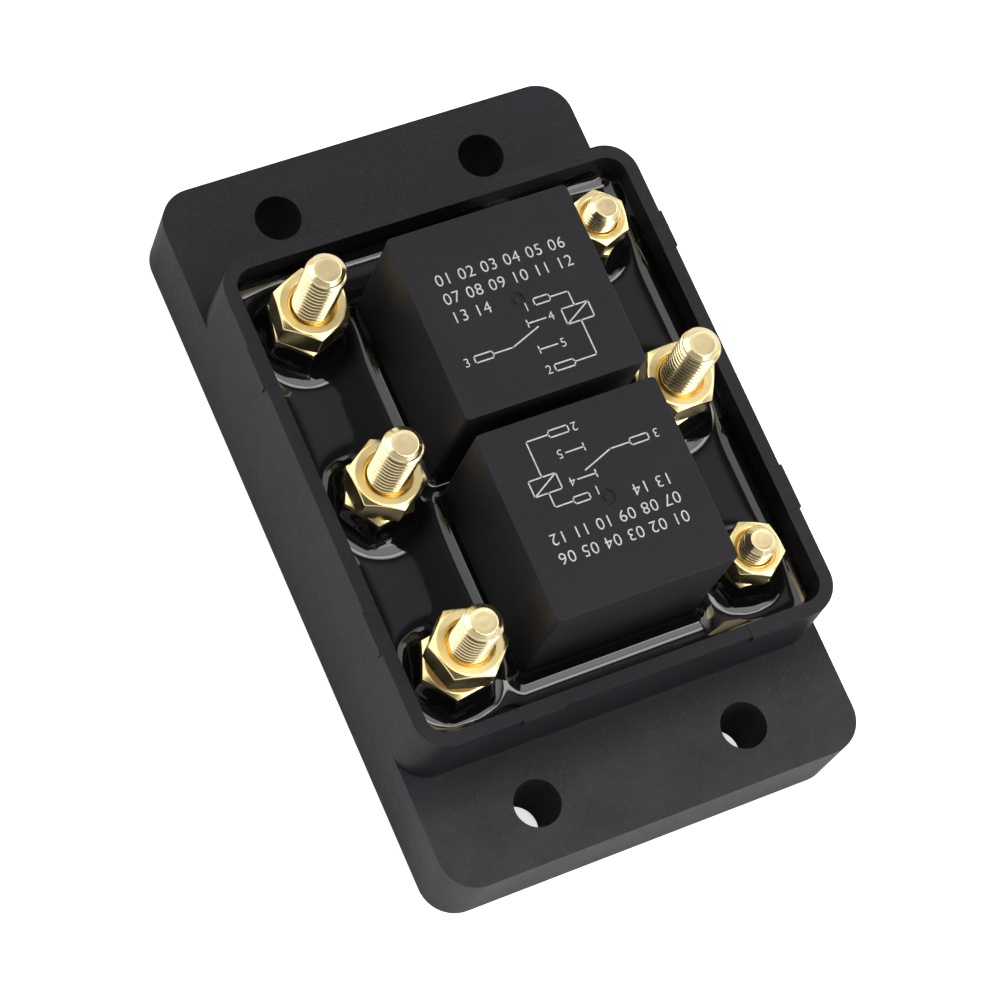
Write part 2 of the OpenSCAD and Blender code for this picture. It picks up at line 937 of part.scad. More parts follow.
at_relay(2) bobbin();  // relay_2_bobbin
at_relay(2) winding();  // relay_2_winding
at_relay(2) core();  // relay_2_core
at_relay(2) common_terminal();  // relay_2_common_terminal
at_relay(2) no_terminal();  // relay_2_no_terminal
at_relay(2) nc_terminal();  // relay_2_nc_terminal
at_relay(2) fixed_contacts();  // relay_2_fixed_contacts
at_relay(2) coil_pins();  // relay_2_coil_pins
at_relay(2) hinge_spring();  // relay_2_hinge_spring
at_relay(2) armature();  // relay_2_armature
at_relay(2) blade();  // relay_2_blade
at_relay(2) moving_contact();  // relay_2_moving_contact
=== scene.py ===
"""Looks of the dual changeover relay module.

Every visible piece is a mesh made here, in metres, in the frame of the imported
model. Sizes in the tables are millimetres, brought to metres by MM.
"""
import json
import math

import bmesh
import bpy
import numpy as np
from mathutils import Matrix, Vector
from mathutils.geometry import delaunay_2d_cdt


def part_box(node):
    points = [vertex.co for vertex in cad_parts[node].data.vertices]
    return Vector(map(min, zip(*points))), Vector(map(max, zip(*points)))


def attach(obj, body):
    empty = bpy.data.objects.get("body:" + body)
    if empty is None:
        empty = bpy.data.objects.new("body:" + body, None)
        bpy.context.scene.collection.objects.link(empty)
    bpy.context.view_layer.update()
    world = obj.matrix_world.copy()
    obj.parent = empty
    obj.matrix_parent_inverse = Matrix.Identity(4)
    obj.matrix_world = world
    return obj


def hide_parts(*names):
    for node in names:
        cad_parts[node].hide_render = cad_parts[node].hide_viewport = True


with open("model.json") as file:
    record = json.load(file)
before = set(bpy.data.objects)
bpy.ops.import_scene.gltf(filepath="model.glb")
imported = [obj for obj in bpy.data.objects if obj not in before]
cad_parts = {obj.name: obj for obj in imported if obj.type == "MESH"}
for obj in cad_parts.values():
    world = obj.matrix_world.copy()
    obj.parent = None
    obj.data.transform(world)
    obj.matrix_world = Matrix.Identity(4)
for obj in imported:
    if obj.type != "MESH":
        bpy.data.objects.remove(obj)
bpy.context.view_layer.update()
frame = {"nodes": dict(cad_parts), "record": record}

BODY = "module"
MM = 0.001

# Housing, in millimetres, as in the solid model
HOUSING_LOW, HOUSING_HIGH = (Vector(c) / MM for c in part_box("housing"))
BOX_W, BOX_L, BOX_R = 66.0, 76.7, 5.0
RIM_Z = HOUSING_HIGH.z
WALL = 2.0
FLOOR = 2.5
FLANGE_W = HOUSING_HIGH.x - HOUSING_LOW.x
BODY_L = HOUSING_HIGH.y - HOUSING_LOW.y
FLANGE_H, FLANGE_R = 14.0, 5.4
SKIN, RIB, BOSS_D = 2.6, 2.0, 12.0
HOLE_R, HOLE_X, HOLE_Y = 3.5, 33.2, 94.5
POCKET_OVER = 0.5
EDGE_R = 0.45
CAVITY_W, CAVITY_L = BOX_W - 2 * WALL, BOX_L - 2 * WALL
CAVITY_R = BOX_R - WALL
# Pads on the rim's outside: how far out, how high and how proud of the rim, then their depth in
# walls; and for each one its side, its middle along the wall and its length
PAD_OUT, PAD_H, PAD_RISE = 0.3, 1.8, 0.08
PAD_WALLS = 1.2
RIM_PADS = [("right", 22.9, 5.9), ("right", -19.6, 6.9), ("left", 22.0, 6.4), ("left", -19.5, 6.4),
            ("front", -15.0, 6.4), ("front", 21.0, 6.2)]

# Resin: level, and level under the relays, whose edge it passes by RELAY_OVERLAP
RESIN_Z = 20.3
UNDER_RELAY_Z = 18.9
RELAY_OVERLAP = 0.4
# For each thing that the resin climbs, pairs of rise and reach: the slopes, then the thin top film
WALL_CLIMB = ((1.2, 0.7), (0.45, 3.0), (1.2, 0.12))
RELAY_CLIMB = ((0.9, 0.5), (0.55, 4.0), (0.6, 0.1))
POWER_CLIMB = ((2.8, 0.95), (2.0, 0.2))
COIL_CLIMB = ((2.7, 0.85), (1.2, 0.2))
# More rise between a relay's outer end and the end wall: rise, reach, reach past the relay's
# sides, and the radius that rounds its crest
END_CLIMB, END_REACH, END_SIDE, END_ROUND = 1.0, 1.2, 1.2, 0.3
# Away from a nut its hexagonal slope turns round: radius as a share of the width across flats,
# and the distance over which it turns
ROUNDING, ROUNDING_REACH = 0.55, 2.5
# Waves of the skin: height, length and phase along X and Y, then the slanting wave's lengths
# and share
WAVE_H = 0.03
WAVE_X, WAVE_Y = (6.1, 0.4), (7.3, 1.1)
SLANT_X, SLANT_Y, SLANT_SHARE = 3.3, 4.7, 0.5
# Points of the skin: rings beside walls and relays, rings beside nuts, then the grid between them
RING_REACH, RING_COUNT, RING_STEP = 2.6, 14, 0.7
UNDER_GAPS = [-0.45, -0.35]
NUT_RING_REACH, NUT_RING_COUNT, NUT_RING_POINTS = 4.0, 20, 120
RING_SHARE, RING_FREE = 0.98, 1.2
GRID_STEP, GRID_FREE = 0.55, 1.6
WALL_TOLERANCE, RELAY_TOLERANCE = 0.001, 0.5

# Fasteners, in millimetres: level of the lower nuts, and how much higher one terminal nut stands
NUT_Z = 21.2
LOOSE_RISE = 2.7
POWER_R, COIL_R = 3.0, 2.5
# Mount, thread radius, across flats, nut height, lower and upper nut's turn in degrees, how far
# the upper nut is screwed up, and pitch
STUDS = {
    "motor_a": ("motor_a_stud", POWER_R, 10.0, 5.2, 19.0, 22.3, 0.0, 1.0),
    "positive": ("positive_stud", POWER_R, 10.0, 5.2, 5.0, 32.4, 0.0, 1.0),
    "motor_b": ("motor_b_stud", POWER_R, 10.0, 5.2, 8.0, 45.4, LOOSE_RISE, 1.0),
    "negative": ("negative_stud", POWER_R, 10.0, 5.2, 13.0, 1.4, 0.0, 1.0),
    "coil_1": ("coil_1_stud", COIL_R, 8.0, 4.2, 39.0, 18.4, 0.0, 0.8),
    "coil_2": ("coil_2_stud", COIL_R, 8.0, 4.2, 53.0, 36.7, 0.0, 0.8),
}
STUD_TOP = {POWER_R: 43.0, COIL_R: 33.0}
TIP_CHAMFER = {POWER_R: 1.1, COIL_R: 0.9}
TIP_SLOPE = 1.05
HEAD_H = {POWER_R: 4.0, COIL_R: 3.5}
# Where the heads stop and the shanks start, how far inside the crests a shank lies, and where
# the threads start
SEAT_Z = 13.0
THREAD_RELIEF = 0.3
THREAD_LOW = 20.0
# Depth of the thread as a share of its pitch, and rings of points in one pitch
THREAD_DEPTH = 0.55
RINGS_PER_PITCH = 10
# Rings of the tip's face: share of its radius and depth
TIP_DISH = ((0.93, 0.03), (0.6, 0.0), (0.3, 0.02))
# Nuts: flat face as a share of the width, how much wider and deeper than the thread the mouth is,
# how far the bore lies inside the crests, and the slope of the chamfer
NUT_FACE_SHARE = 0.95
NUT_MOUTH = 0.62
NUT_BORE_IN = 0.25
NUT_BEVEL = math.tan(math.radians(30))
# Rounding of the fasteners' edges: width, segments and the angle from which an edge counts
FASTENER_EDGE = (0.12, 2, 25)

# Points round a circle, fine enough for the size of each
HOLE_STEPS, BOSS_STEPS, NUT_STEPS, STUD_STEPS = 64, 48, 96, 72
DIMPLE_STEPS, NUB_STEPS = 40, 24
# Steps in a quarter turn of the outlines' round corners
OUTER_CORNER, CAVITY_CORNER, COVER_CORNER = 12, 10, 6

# Relays
RELAYS = ("relay_1_cover", "relay_2_cover")
COVER_EDGE_R = 0.7
COVER_TOP_R = 0.4
DIMPLE_R, DIMPLE_NUB_R, DIMPLE_DEPTH = 1.2, 0.45, 0.25

# Print, in millimetres from the relay's middle: lines, then numerals with size and place
PRINT_T = 0.012
PRINT_W = 0.2
# The numerals' spacing, and how much thinner than the font their strokes are, as a share of size
DIGIT_SPACING, DIGIT_THIN = 1.1, 0.006
DIAGRAM = [
    [(5.4, -3.2), (9.6, -3.2), (9.6, -5.6), (5.4, -5.6), (5.4, -3.2)],
    [(5.4, -5.6), (9.6, -3.2)],
    [(7.5, -3.2), (7.5, -1.0), (4.6, -1.0)],
    [(7.5, -5.6), (7.5, -11.0), (4.0, -11.0)],
    [(4.6, -1.5), (2.2, -1.5), (2.2, -0.5), (4.6, -0.5), (4.6, -1.5)],
    [(4.0, -11.5), (1.0, -11.5), (1.0, -10.5), (4.0, -10.5), (4.0, -11.5)],
    [(-9.3, -5.8), (-6.5, -5.8), (-6.5, -6.8), (-9.3, -6.8), (-9.3, -5.8)],
    [(-6.5, -6.3), (-3.4, -6.3), (1.2, -4.6)],
    [(0.0, -3.7), (2.8, -3.7)],
    [(0.0, -7.8), (2.8, -7.8)],
    [(0.0, -3.2), (0.0, -4.2)],
    [(0.0, -7.3), (0.0, -8.3)],
]
NUMBERS = [
    ("01 02 03 04 05 06", 2.45, (-9.9, 5.3)),
    ("07 08 09 10 11 12", 2.45, (-9.9, 2.4)),
    ("13 14", 2.45, (-9.9, -0.5)),
    ("1", 1.9, (0.4, -2.0)),
    ("2", 1.9, (-0.4, -11.6)),
    ("3", 1.9, (-11.0, -7.0)),
    ("4", 1.9, (3.2, -4.3)),
    ("5", 1.9, (3.2, -8.5)),
]

# Camera, as the photograph was taken: place in metres, then image right, down and forward
CAMERA_PLACE = Vector((-0.18296, -0.13468, 0.49547))
CAMERA_RIGHT = Vector((0.88949, -0.39820, 0.22413))
CAMERA_DOWN = Vector((-0.30631, -0.88358, -0.35420))
CAMERA_FORWARD = Vector((0.33908, 0.24641, -0.90791))
LENS, SENSOR = 132.75, 36.0
NEAREST, FARTHEST = 0.01, 20

# Studio: the lamp's direction, distance and size in metres, brightness, and the point it faces
LAMP_WAY, LAMP_DISTANCE, LAMP_SIZE, LAMP_LEVEL = (0.30, -0.70, 0.64), 0.42, (0.25, 0.2), 3.5
LAMP_TARGET = (0, 0, 0.02)
# Softboxes of the studio: direction, half sizes, soft edge and brightness
SOFTBOXES = [
    ((0.26, -0.38, 0.89), (0.32, 0.28), 0.03, 2.8),
    ((0.20, -0.03, 0.98), (0.34, 0.06), 0.03, 6.0),
    ((-0.47, 0.60, 0.65), (0.78, 0.62), 0.05, 1.5),
    ((0.82, 0.20, 0.54), (0.35, 0.60), 0.12, 1.8),
    ((0.34, 0.25, 0.91), (0.10, 0.12), 0.07, 0.34),
]
# Sky: brightness near the horizon and overhead, and the heights between which it changes
SKY_EDGE, SKY_TOP = 0.84, 0.08
SKY_LOW, SKY_HIGH = 0.25, 0.7
# Floor: grey of its colour, what it adds where the camera sees it, its half size in millimetres
# and how far below the foot it lies in metres
FLOOR_COLOUR, FLOOR_GLOW = 0.75, 0.7
FLOOR_HALF, FLOOR_DROP = 3000, 0.0002


# Materials

# Finishes of the pieces under the resin and in the relays: darker and lighter tone, roughness,
# metal, features per metre, strength of the marks, and how the marks stretch along X, Y and Z
INNER_FINISHES = {
    "board_laminate": ((0.02, 0.11, 0.045), (0.035, 0.17, 0.07), 0.35, 0.0, 300, 0.2, (1, 1, 1)),
    "bar_copper": ((0.5, 0.2, 0.1), (0.72, 0.36, 0.22), 0.32, 1.0, 500, 0.25, (1, 0.15, 1)),
    "washer_steel": ((0.5, 0.5, 0.48), (0.66, 0.66, 0.66), 0.34, 1.0, 900, 0.15, (1, 1, 1)),
    "relay_steel": ((0.4, 0.41, 0.42), (0.55, 0.56, 0.58), 0.38, 1.0, 700, 0.3, (0.2, 1, 1)),
    "bobbin_plastic": ((0.62, 0.56, 0.44), (0.76, 0.71, 0.6), 0.5, 0.0, 400, 0.2, (1, 1, 1)),
    "winding_copper": ((0.34, 0.12, 0.05), (0.62, 0.27, 0.12), 0.3, 1.0, 650, 0.9, (0.08, 0.08, 4)),
    "strip_copper": ((0.52, 0.22, 0.11), (0.75, 0.4, 0.25), 0.3, 1.0, 600, 0.25, (1, 1, 0.2)),
    "spring_bronze": ((0.5, 0.3, 0.14), (0.7, 0.46, 0.24), 0.3, 1.0, 600, 0.25, (1, 0.2, 1)),
    "contact_silver": ((0.66, 0.65, 0.6), (0.86, 0.85, 0.82), 0.25, 1.0, 1400, 0.2, (1, 1, 1)),
}

# Flat ends turned on a lathe are rougher than rolled and drawn faces by this much
TURNED_ROUGHER = 0.13

# How much paler the housing's -Y end is painted, least and most: partly its rough speckled band,
# partly painted sheen in place of more light
BAND_SHEEN_LOW, BAND_SHEEN_HIGH = 0.010, 0.020
# Where the housing's paler end (rough speckled band and painted sheen) begins and is full, along Y
# in metres
BAND_SHEEN_END = (-0.040, -0.046)

# Places of the colour sockets on a mix node
MIX_A, MIX_B, MIX_RESULT = 6, 7, 2


def tree_of(name):
    """An empty material with its node tree and its Principled shader."""
    material = bpy.data.materials.new(name)
    material.use_nodes = True
    tree = material.node_tree
    return material, tree, tree.nodes["Principled BSDF"]


def add(tree, kind, **values):
    """A node of that kind; values set its sockets, or its own settings."""
    node = tree.nodes.new(kind)
    for key, value in values.items():
        socket = node.inputs.get(key.replace("_", " "))
        if socket is None:
            setattr(node, key, value)
        elif isinstance(value, bpy.types.NodeSocket):
            tree.links.new(value, socket)
        else:
            socket.default_value = value
    return node


def noise(tree, scale, detail=2.0, roughness=0.5, stretch=None):
    """Noise in object space; scale counts features per metre."""
    place = add(tree, "ShaderNodeTexCoord").outputs["Object"]
    if stretch:
        place = add(tree, "ShaderNodeMapping", Vector=place, Scale=stretch).outputs["Vector"]
    return add(tree, "ShaderNodeTexNoise", Vector=place, Scale=scale, Detail=detail,
               Roughness=roughness).outputs["Fac"]


def ramp(tree, value, stops):
    """A colour ramp over value: stops are (place, colour or grey)."""
    node = add(tree, "ShaderNodeValToRGB", Fac=value)
    elements = node.color_ramp.elements
    while len(elements) < len(stops):
        elements.new(0.5)
    for element, (place, colour) in zip(elements, stops):
        element.position = place
        grey = isinstance(colour, (int, float))
        element.color = (colour, colour, colour, 1) if grey else (*colour, 1)
    return node.outputs["Color"]


def bump(tree, height, strength, distance, normal=None):
    """Relief of that strength, over distance in metres, on top of another normal."""
    node = add(tree, "ShaderNodeBump", Strength=strength, Distance=distance, Height=height)
    if normal is not None:
        tree.links.new(normal, node.inputs["Normal"])
    return node.outputs["Normal"]


def math_node(tree, operation, *values):
    """A calculation of that kind over numbers and sockets."""
    node = add(tree, "ShaderNodeMath", operation=operation)
    for socket, value in zip(node.inputs, values):
        if isinstance(value, bpy.types.NodeSocket):
            tree.links.new(value, socket)
        else:
            socket.default_value = value
    return node.outputs["Value"]


def plus(tree, colour, more, share=1.0):
    """Sum of two colours; share is a number or a socket that scales the second."""
    node = add(tree, "ShaderNodeMix", data_type="RGBA", blend_type="ADD")
    if isinstance(share, bpy.types.NodeSocket):
        tree.links.new(share, node.inputs["Factor"])
    else:
        node.inputs["Factor"].default_value = share
    tree.links.new(colour, node.inputs[MIX_A])
    tree.links.new(more, node.inputs[MIX_B])
    return node.outputs[MIX_RESULT]


def moulded_plastic(name, dark, light, rough_low=0.46, rough_high=0.52, grain=0.5,
                    speckle=0.01, band_and_sheen=None):
    """Fine-grained moulded plastic with faint flow marks and light grains.

    Its last argument is the stretch of Y, in metres, over which a paler end begins: partly a rough
    speckled band, partly painted sheen.
    """
    material, tree, shader = tree_of(name)
    colour = ramp(tree, noise(tree, 90, 4), [(0.3, dark), (0.7, light)])
    grains = ramp(tree, noise(tree, 2400, 3, 0.7), [(0.56, 0.0), (0.74, speckle)])
    colour = plus(tree, colour, grains)
    # Painted sheen: the -Y end's base colour is lightened, partly for its rough speckled band,
    # partly in place of light that no lamp gives there
    if band_and_sheen:
        place = add(tree, "ShaderNodeTexCoord").outputs["Object"]
        along = add(tree, "ShaderNodeSeparateXYZ", Vector=place).outputs["Y"]
        end = add(tree, "ShaderNodeMapRange", Value=along).inputs
        end["From Min"].default_value, end["From Max"].default_value = band_and_sheen
        band_sheen = ramp(tree, noise(tree, 130, 5, 0.65), [(0.35, BAND_SHEEN_LOW), (0.7, BAND_SHEEN_HIGH)])
        colour = plus(tree, colour, band_sheen, end["Value"].node.outputs["Result"])
    tree.links.new(colour, shader.inputs["Base Color"])
    rough = ramp(tree, noise(tree, 700, 3, 0.6), [(0.3, rough_low), (0.7, rough_high)])
    tree.links.new(rough, shader.inputs["Roughness"])
    fine = bump(tree, noise(tree, 5200, 2, 0.7), grain, 0.00004)
    broad = bump(tree, noise(tree, 120, 2), 0.04, 0.0002, fine)
    tree.links.new(broad, shader.inputs["Normal"])
    shader.inputs["Specular IOR Level"].default_value = 0.22
    return material


def housing_plastic():
    """Black, coarser grained, with one flange paler: its rough speckled band plus painted sheen."""
    return moulded_plastic("housing_plastic", (0.0078, 0.0076, 0.0105), (0.0108, 0.0106, 0.0145),
                           grain=0.5, speckle=0.016, band_and_sheen=BAND_SHEEN_END)


def relay_plastic():
    """Black with a finer grain than the housing."""
    return moulded_plastic("relay_plastic", (0.008, 0.008, 0.0102), (0.0105, 0.0105, 0.0135),
                           grain=0.35, speckle=0.006)


def poured_resin():
    """Black poured resin: a mirror-like skin that is hardly uneven."""
    material, tree, shader = tree_of("poured_resin")
    colour = ramp(tree, noise(tree, 60, 2),
                  [(0.3, (0.0035, 0.0035, 0.004)), (0.7, (0.006, 0.006, 0.0065))])
    tree.links.new(colour, shader.inputs["Base Color"])
    rough = ramp(tree, noise(tree, 240, 3), [(0.35, 0.035), (0.7, 0.06)])
    tree.links.new(rough, shader.inputs["Roughness"])
    tree.links.new(bump(tree, noise(tree, 140, 2), 0.1, 0.0002), shader.inputs["Normal"])
    shader.inputs["IOR"].default_value = 1.62
    return material


def brass(name, colour, deep, rough_low, rough_high, marks):
    """Machined brass with fine turning marks, small stains and soft wear."""
    material, tree, shader = tree_of(name)
    stain = ramp(tree, noise(tree, 420, 4, 0.5), [(0.2, deep), (0.45, colour)])
    tree.links.new(stain, shader.inputs["Base Color"])
    shader.inputs["Metallic"].default_value = 1.0
    rough = ramp(tree, noise(tree, 900, 3, 0.6), [(0.3, rough_low), (0.75, rough_high)])
    up = add(tree, "ShaderNodeSeparateXYZ",
             Vector=add(tree, "ShaderNodeNewGeometry").outputs["True Normal"]).outputs["Z"]
    level_face = ramp(tree, up, [(0.9, 0.0), (0.99, 1.0)])
    rough = math_node(tree, "MULTIPLY_ADD", level_face, TURNED_ROUGHER, rough)
    tree.links.new(rough, shader.inputs["Roughness"])
    fine = bump(tree, noise(tree, 2600, 2, 0.5), marks, 0.00001)
    scratch = bump(tree, noise(tree, 300, 2, 0.5, (1, 1, 4)), 0.03, 0.00004, fine)
    tree.links.new(scratch, shader.inputs["Normal"])
    return material


def nut_brass():
    """Deeper yellow brass, cut from bar."""
    return brass("nut_brass", (0.93, 0.75, 0.37), (0.88, 0.69, 0.31), 0.2, 0.26, 0.08)


def stud_brass():
    """Paler brass, smoothed by thread rolling."""
    return brass("stud_brass", (0.93, 0.77, 0.43), (0.86, 0.69, 0.35), 0.17, 0.22, 0.06)


def printed_ink():
    """Pale grey pad print, a little uneven."""
    material, tree, shader = tree_of("printed_ink")
    colour = ramp(tree, noise(tree, 1800, 3), [(0.3, 0.36), (0.7, 0.5)])
    tree.links.new(colour, shader.inputs["Base Color"])
    shader.inputs["Roughness"].default_value = 0.6
    return material


def inner_finish(name, low, high, rough, metal, scale, marks, stretch):
    """A finish for the pieces inside: two tones of noise, with marks that run one way."""
    material, tree, shader = tree_of(name)
    tone = noise(tree, scale, 4, 0.5, stretch)
    tree.links.new(ramp(tree, tone, [(0.3, low), (0.7, high)]),
                   shader.inputs["Base Color"])
    shader.inputs["Metallic"].default_value = metal
    tree.links.new(ramp(tree, noise(tree, scale * 2, 2), [(0.3, rough * 0.8), (0.7, rough * 1.2)]),
                   shader.inputs["Roughness"])
    tree.links.new(bump(tree, noise(tree, scale * 6, 2, 0.5, stretch), marks, 0.00003),
                   shader.inputs["Normal"])
    return material


def dress_nodes(finished):
    """Gives each CAD node the finish of its slot; finished has the slots already made."""
    finishes = dict(finished)
    for slot, row in INNER_FINISHES.items():
        finishes[slot] = inner_finish("inner_" + slot, *row)
    for row in frame["record"]["subparts"]:
        materials = frame["nodes"][row["node"]].data.materials
        materials.clear()
        materials.append(finishes[row["material_slot"]])


# Meshes

# Points nearer than this, in millimetres, are one, and edges flatter than this angle are dissolved
SAME_POINT, FLAT_DEG = 0.002, 0.5
# Angle in degrees from which an edge of a moulding shades sharp, and one that leaves none sharp
MOULDED_SHARP, NONE_SHARP = 60, 180


def make_object(name, mesh, material, nodes=(), sharp_deg=35):
    """Links a mesh as a piece of the module, shaded smooth below an edge angle."""
    mesh.validate()
    mesh.shade_smooth()
    mesh.set_sharp_from_angle(angle=math.radians(sharp_deg))
    piece = bpy.data.objects.new(name, mesh)
    bpy.context.collection.objects.link(piece)
    mesh.materials.append(material)
    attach(piece, BODY)
    if nodes:
        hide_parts(*nodes)
    return piece


def even_shading(piece):
    """Flat faces shade flat, and only the rounded edges between them turn."""
    modifier = piece.modifiers.new("even", "WEIGHTED_NORMAL")
    modifier.keep_sharp = True
    modifier.weight = 100
    return piece


def mesh_from(name, points, faces):
    """A mesh from points in millimetres and faces."""
    mesh = bpy.data.meshes.new(name)
    mesh.from_pydata([Vector(p) * MM for p in points], [], faces)
    return mesh


def round_rect(w, l, r, steps=10, centre=(0, 0)):
    """Outline of a rectangle with round corners, counter-clockwise."""
    points = []
    for quarter, (sx, sy) in enumerate(((1, 1), (-1, 1), (-1, -1), (1, -1))):
        for k in range(steps + 1):
            a = math.radians(90 * quarter + 90 * k / steps)
            points.append((centre[0] + sx * (w / 2 - r) + r * math.cos(a),
                           centre[1] + sy * (l / 2 - r) + r * math.sin(a)))
    return points


def circle(r, steps=HOLE_STEPS, centre=(0, 0)):
    """Outline of a circle, counter-clockwise."""
    return [(centre[0] + r * math.cos(2 * math.pi * k / steps),
             centre[1] + r * math.sin(2 * math.pi * k / steps)) for k in range(steps)]


def prism(outline, low, high):
    """An upright prism over an outline, as a temporary object."""
    n = len(outline)
    points = [(x, y, low) for x, y in outline] + [(x, y, high) for x, y in outline]
    faces = [tuple(reversed(range(n))), tuple(range(n, 2 * n))]
    faces += [(k, (k + 1) % n, n + (k + 1) % n, n + k) for k in range(n)]
    solid = bpy.data.objects.new("cutter", mesh_from("cutter", points, faces))
    bpy.context.collection.objects.link(solid)
    return solid


def applied(piece):
    """The piece's mesh with its modifiers applied."""
    graph = bpy.context.evaluated_depsgraph_get()
    return bpy.data.meshes.new_from_object(piece.evaluated_get(graph))


def combine(piece, others, operation):
    """Joins others to a temporary object, or cuts them from it, one by one."""
    for other in others:
        modifier = piece.modifiers.new("step", "BOOLEAN")
        modifier.operation = operation
        modifier.solver = "EXACT"
        modifier.object = other
        mesh = applied(piece)
        piece.modifiers.clear()
        piece.data = mesh
        bpy.data.objects.remove(other)
    return piece


def soften(piece, width, segments=3, angle_deg=30):
    """Rounds the sharp edges of a temporary object."""
    cleaner = bmesh.new()
    cleaner.from_mesh(piece.data)
    bmesh.ops.remove_doubles(cleaner, verts=cleaner.verts, dist=SAME_POINT * MM)
    bmesh.ops.dissolve_limit(cleaner, angle_limit=math.radians(FLAT_DEG), verts=cleaner.verts,
                             edges=cleaner.edges)
    cleaner.to_mesh(piece.data)
    cleaner.free()
    modifier = piece.modifiers.new("round", "BEVEL")
    modifier.width = width * MM
    modifier.segments = segments
    modifier.limit_method = "ANGLE"
    modifier.angle_limit = math.radians(angle_deg)
    modifier.use_clamp_overlap = True
    modifier.miter_outer = "MITER_ARC"
    mesh = applied(piece)
    piece.modifiers.clear()
    bpy.data.objects.remove(piece)
    return mesh


def tile(w, l, low, high, centre):
    """A plain upright block, as a temporary object."""
    x, y = centre
    return prism([(x - w / 2, y - l / 2), (x + w / 2, y - l / 2), (x + w / 2, y + l / 2),
                  (x - w / 2, y + l / 2)], low, high)


# Housing

def flange_pockets():
    """Blocks that hollow the flanges from below, between ribs and bosses."""
    over = POCKET_OVER
    flange_l = (BODY_L - BOX_L) / 2
    pocket_l = flange_l - SKIN
    inner_w = FLANGE_W - 2 * SKIN
    top = FLANGE_H - SKIN
    pockets = []
    for j in (-1, 1):
        block = tile(inner_w, pocket_l, -over, top, (0, j * (BOX_L + pocket_l) / 2))
        ribs = [tile(RIB, 2 * flange_l, -2 * over, top + over, (x, j * HOLE_Y / 2))
                for x in (0, -HOLE_X / 2, HOLE_X / 2)]
        ribs.append(tile(inner_w + over, RIB, -2 * over, top + over, (0, j * HOLE_Y / 2)))
        ribs += [prism(circle(BOSS_D / 2, BOSS_STEPS, (i * HOLE_X / 2, j * HOLE_Y / 2)), -2 * over,
                       top + over) for i in (-1, 1)]
        pockets.append(combine(block, ribs, "DIFFERENCE"))
    return pockets


def taper(low_outline, high_outline, low, high):
    """A block that narrows from one outline to another with as many points."""
    rings = [[(x, y, low) for x, y in low_outline], [(x, y, high) for x, y in high_outline]]
    block = bpy.data.objects.new("cutter", lathe_rings("cutter", rings, False))
    bpy.context.collection.objects.link(block)
    return block


def rim_pads():
    """Flat pads that stand a hair proud of the rim's outside."""
    pads = []
    depth = PAD_OUT + WALL * PAD_WALLS
    for side, middle, length in RIM_PADS:
        across = side == "front"
        sign = 1 if side == "right" else -1
        reach = (BOX_L if across else BOX_W) / 2 + PAD_OUT - depth / 2
        centre = (middle, sign * reach) if across else (sign * reach, middle)
        size = (length, depth) if across else (depth, length)
        pads.append(tile(*size, RIM_Z - PAD_H, RIM_Z + PAD_RISE, centre))
    return pads


def housing(material):
    """The open-topped box with drafted walls, on one foot with its two hollow flanges."""
    shell = prism(round_rect(FLANGE_W, BODY_L, FLANGE_R, OUTER_CORNER), 0, FLANGE_H)
    foot = round_rect(FLANGE_W, BOX_L + FLANGE_W - BOX_W, BOX_R, OUTER_CORNER)
    box = prism(foot, FLANGE_H / 2, FLANGE_H)
    upper = taper(foot, round_rect(BOX_W, BOX_L, BOX_R, OUTER_CORNER), FLANGE_H, RIM_Z)
    combine(shell, [box, upper] + rim_pads(), "UNION")
    cavity = prism(round_rect(CAVITY_W, CAVITY_L, CAVITY_R, CAVITY_CORNER), FLOOR, RIM_Z + 1)
    holes = [prism(circle(HOLE_R, HOLE_STEPS, (i * HOLE_X / 2, j * HOLE_Y / 2)), -1, FLANGE_H + 1)
             for i in (-1, 1) for j in (-1, 1)]
    combine(shell, [cavity] + holes + flange_pockets(), "DIFFERENCE")
    mesh = soften(shell, EDGE_R)
    return even_shading(make_object("housing_shell", mesh, material,
                                    ("housing",), MOULDED_SHARP))


# Resin

def stud_places():
    """Middle of each stud in millimetres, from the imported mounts."""
    mounts = {m["name"]: m for m in frame["record"]["mounts"]}
    return {name: (mounts[row[0]]["pos_m"][0] / MM, mounts[row[0]]["pos_m"][1] / MM)
            for name, row in STUDS.items()}


def hex_offset(af, turn, gap, steps):
    """Points at a distance gap outside a hexagon, evenly spread in angle."""
    corner = af / 2 / math.cos(math.radians(30))
    points = []
    for k in range(steps):
        a = 2 * math.pi * k / steps
        local = (a - math.radians(turn) + math.pi / 6) % (math.pi / 3) - math.pi / 6
        to_corner = abs(local)
        r = corner * math.cos(to_corner) + math.sqrt(
            max(0.0, gap * gap - (corner * math.sin(to_corner)) ** 2))
        flat_r = (af / 2 + gap) / math.cos(math.pi / 6 - to_corner)
        on_flat = flat_r * math.sin(math.pi / 6 - to_corner) < af / 2 * math.tan(math.pi / 6)
        r = flat_r if on_flat or gap <= 0 else r
        points.append((r * math.cos(a), r * math.sin(a)))
    return points


def hex_distance(x, y, centre, af, turn):
    """Distance from points to a hexagon, 0 inside."""
    dx, dy = x - centre[0], y - centre[1]
    r = np.hypot(dx, dy)
    a = np.arctan2(dy, dx) - math.radians(turn)
    local = np.abs((a + math.pi / 6) % (math.pi / 3) - math.pi / 6)
    side = math.pi / 6 - local
    px, py = r * np.cos(side), r * np.sin(side)
    half = af / 2 * math.tan(math.pi / 6)
    out = np.maximum(px - af / 2, 0)
    return np.where(py <= half, out, np.hypot(px - af / 2, py - half))


def rect_distance(x, y, centre, w, l, r):
    """Signed distance from points to a round-cornered rectangle."""
    qx = np.abs(x - centre[0]) - (w / 2 - r)
    qy = np.abs(y - centre[1]) - (l / 2 - r)
    outside = np.hypot(np.maximum(qx, 0), np.maximum(qy, 0))
    return outside + np.minimum(np.maximum(qx, qy), 0) - r


